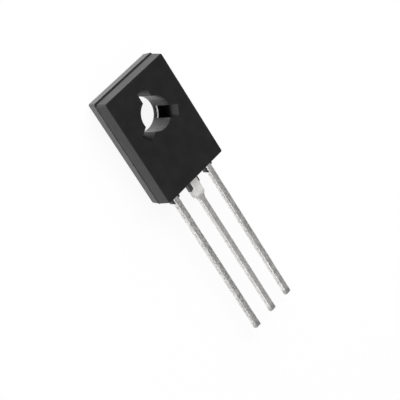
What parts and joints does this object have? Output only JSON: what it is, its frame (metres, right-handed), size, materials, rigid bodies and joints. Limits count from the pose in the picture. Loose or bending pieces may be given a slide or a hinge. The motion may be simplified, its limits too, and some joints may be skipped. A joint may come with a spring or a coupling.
{
  "type": "power transistor",
  "caption": "Moulded flat-pack power transistor with a screw hole through its black case, a bare heat-sink plate in its back and tinned leads in a row.",
  "frame": {"origin": "where the axis of the screw hole meets the heat-sink face", "axes": "+Z along the screw hole towards the plain front face, -Y the way the leads run, +X to the base lead's side"},
  "size_m": [0.0074, 0.0264, 0.0025],
  "materials": {
    "case_epoxy": "fine matt moulding",
    "tinned_copper": "dull tin plating",
    "solder": "dull",
    "silicon": "polished",
    "bond_wire": "bright"
  },
  "bodies": {
    "root": {"moulded_case": "case_epoxy", "collector_frame": "tinned_copper", "emitter_lead": "tinned_copper", "base_lead": "tinned_copper", "die_attach_solder": "solder", "silicon_die": "silicon", "emitter_bond_wire": "bond_wire", "base_bond_wire": "bond_wire"}
  },
  "joints": []
}
